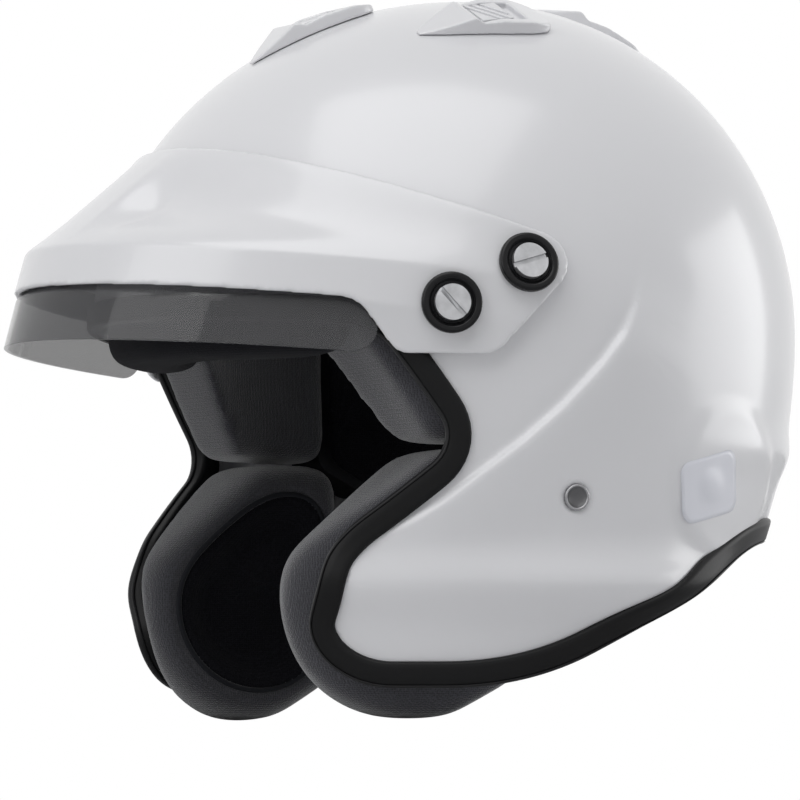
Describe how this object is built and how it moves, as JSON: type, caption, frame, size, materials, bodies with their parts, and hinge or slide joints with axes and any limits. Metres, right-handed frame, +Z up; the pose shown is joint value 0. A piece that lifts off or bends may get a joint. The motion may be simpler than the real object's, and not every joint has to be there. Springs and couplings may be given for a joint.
{
  "type": "auto racing helmet",
  "caption": "Open-face racing helmet with a bolted peak, a smoked shade, sliding top vents, padded cheeks and a ringed chin strap.",
  "frame": {"origin": "centre of the head: the middle of the shell at its widest level", "axes": "the face looks along -Y, the wearer's left is +X, +Z is up"},
  "size_m": [0.2596, 0.3149, 0.2756],
  "materials": {
    "gloss_shell": "gloss white lacquer",
    "foam": "moulded black bead foam",
    "trim_rubber": "satin black extrusion",
    "washer_rubber": "moulded black rubber",
    "smoked_shade": "polished smoked sheet",
    "screw_aluminium": "turned, bright",
    "polished_steel": "polished",
    "plated_steel": "zinc plated",
    "pad_fabric": "charcoal knitted cover over foam",
    "webbing": "woven black webbing",
    "black_plastic": "moulded"
  },
  "bodies": {
    "helmet": {"shell": "gloss_shell", "impact_liner": "foam", "edge_trim": "trim_rubber", "peak": "gloss_shell", "peak_shade": "smoked_shade", "peak_screws": "screw_aluminium", "screw_washers": "washer_rubber", "peak_spacers": "washer_rubber", "peak_nuts": "plated_steel", "vent_front": "gloss_shell", "vent_left": "gloss_shell", "vent_right": "gloss_shell", "vent_rear": "gloss_shell", "strap_rivets": "polished_steel", "strap_anchors": "plated_steel", "head_restraint_terminals": "plated_steel", "comfort_liner": "pad_fabric", "brow_pad": "pad_fabric", "temple_pad_left": "pad_fabric", "temple_pad_right": "pad_fabric", "neck_pad": "pad_fabric", "cheek_pad_left": "pad_fabric", "cheek_pad_right": "pad_fabric", "pad_snaps": "black_plastic", "chin_strap_left": "webbing", "chin_strap_right": "webbing", "strap_snap": "polished_steel"},
    "front_shutter": {"slider_front": "gloss_shell"},
    "left_shutter": {"slider_left": "gloss_shell"},
    "right_shutter": {"slider_right": "gloss_shell"},
    "rear_shutter": {"slider_rear": "gloss_shell"},
    "inner_ring": {"d_ring_inner": "polished_steel"},
    "outer_ring": {"d_ring_outer": "polished_steel"}
  },
  "joints": [
    {"name": "front_shutter_slide", "type": "slide", "parent": "helmet", "child": "front_shutter", "axis": [0, 0.9092, 0.4163], "range_m": [0, 0.005]},
    {"name": "left_shutter_slide", "type": "slide", "parent": "helmet", "child": "left_shutter", "axis": [0, 0.9908, 0.1355], "range_m": [0, 0.005]},
    {"name": "right_shutter_slide", "type": "slide", "parent": "helmet", "child": "right_shutter", "axis": [0, 0.9908, 0.1355], "range_m": [0, 0.005]},
    {"name": "rear_shutter_slide", "type": "slide", "parent": "helmet", "child": "rear_shutter", "axis": [0, 0.917, -0.3989], "range_m": [0, 0.005]},
    {"name": "inner_ring_hinge", "type": "hinge", "parent": "helmet", "child": "inner_ring", "pos_m": [0.086, -0.012, -0.1018], "axis": [0, 1, 0], "range_deg": [0, 75]},
    {"name": "outer_ring_hinge", "type": "hinge", "parent": "helmet", "child": "outer_ring", "pos_m": [0.0904, -0.012, -0.1018], "axis": [0, 1, 0], "range_deg": [-20, 0]}
  ]
}
